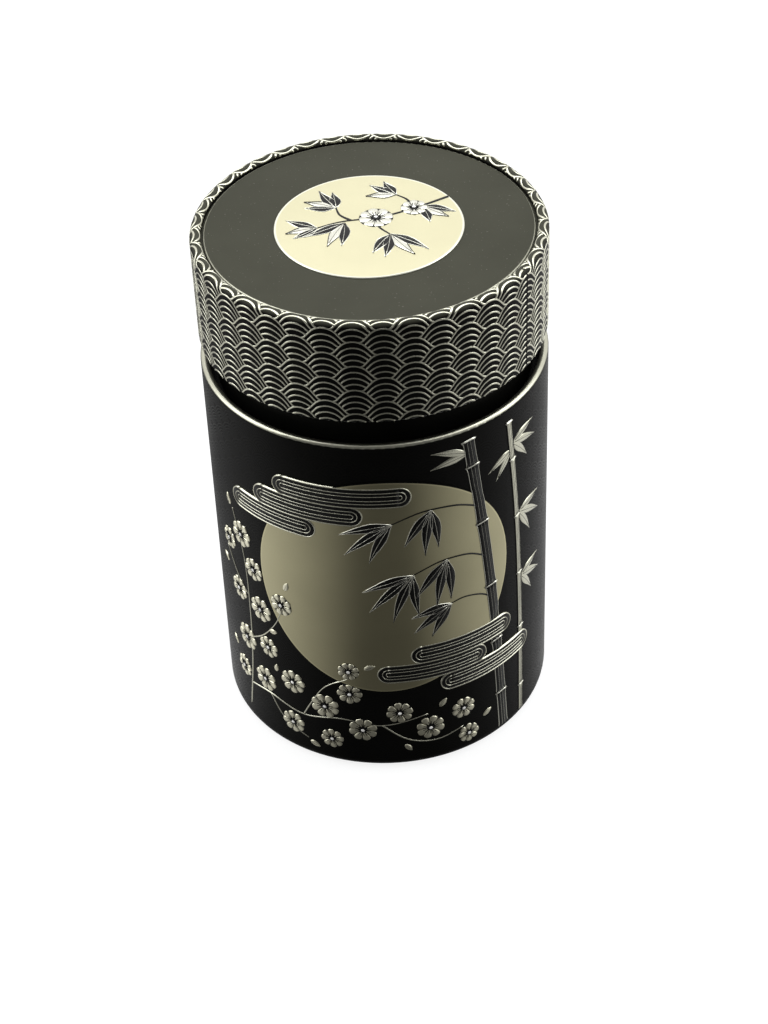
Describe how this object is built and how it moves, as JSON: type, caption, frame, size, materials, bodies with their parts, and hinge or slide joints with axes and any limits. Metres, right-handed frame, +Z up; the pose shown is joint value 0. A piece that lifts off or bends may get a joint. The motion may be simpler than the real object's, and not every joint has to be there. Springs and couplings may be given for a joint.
{
  "type": "tea caddy",
  "caption": "Round sheet-metal tea caddy with a rolled body, a narrower neck collar, a dished inner lid with a knob, and a lift-off outer lid with a recessed top panel.",
  "frame": {"origin": "centre of the circle that the tin rests on, on the supporting surface", "axes": "+Z up along the tin's axis, front with the raised round field towards -Y, +X to the right of someone who faces the front"},
  "size_m": [0.08, 0.0803, 0.1306],
  "materials": {
    "body_lacquer": "satin black lacquer with a champagne round field",
    "base_tinplate": "clear-lacquered tinplate",
    "neck_lacquer": "satin black lacquer",
    "inner_lid_tinplate": "clear-lacquered tinplate",
    "knob_metal": "satin turned metal",
    "rivet_metal": "bright steel",
    "skirt_lacquer": "satin black lacquer with champagne relief lines",
    "panel_lacquer": "satin black lacquer with a cream round field"
  },
  "bodies": {
    "body": {"body_shell": "body_lacquer", "base_pan": "base_tinplate", "neck_collar": "neck_lacquer"},
    "inner_lid": {"inner_lid_pan": "inner_lid_tinplate", "inner_lid_knob": "knob_metal", "knob_rivet": "rivet_metal"},
    "outer_lid": {"lid_skirt": "skirt_lacquer", "lid_top_panel": "panel_lacquer"}
  },
  "joints": [
    {"name": "inner_lid_lift", "type": "slide", "parent": "body", "child": "inner_lid", "axis": [0, 0, 1], "range_m": [0, 0.03]},
    {"name": "outer_lid_lift", "type": "slide", "parent": "inner_lid", "child": "outer_lid", "axis": [0, 0, 1], "range_m": [0, 0.04]}
  ]
}
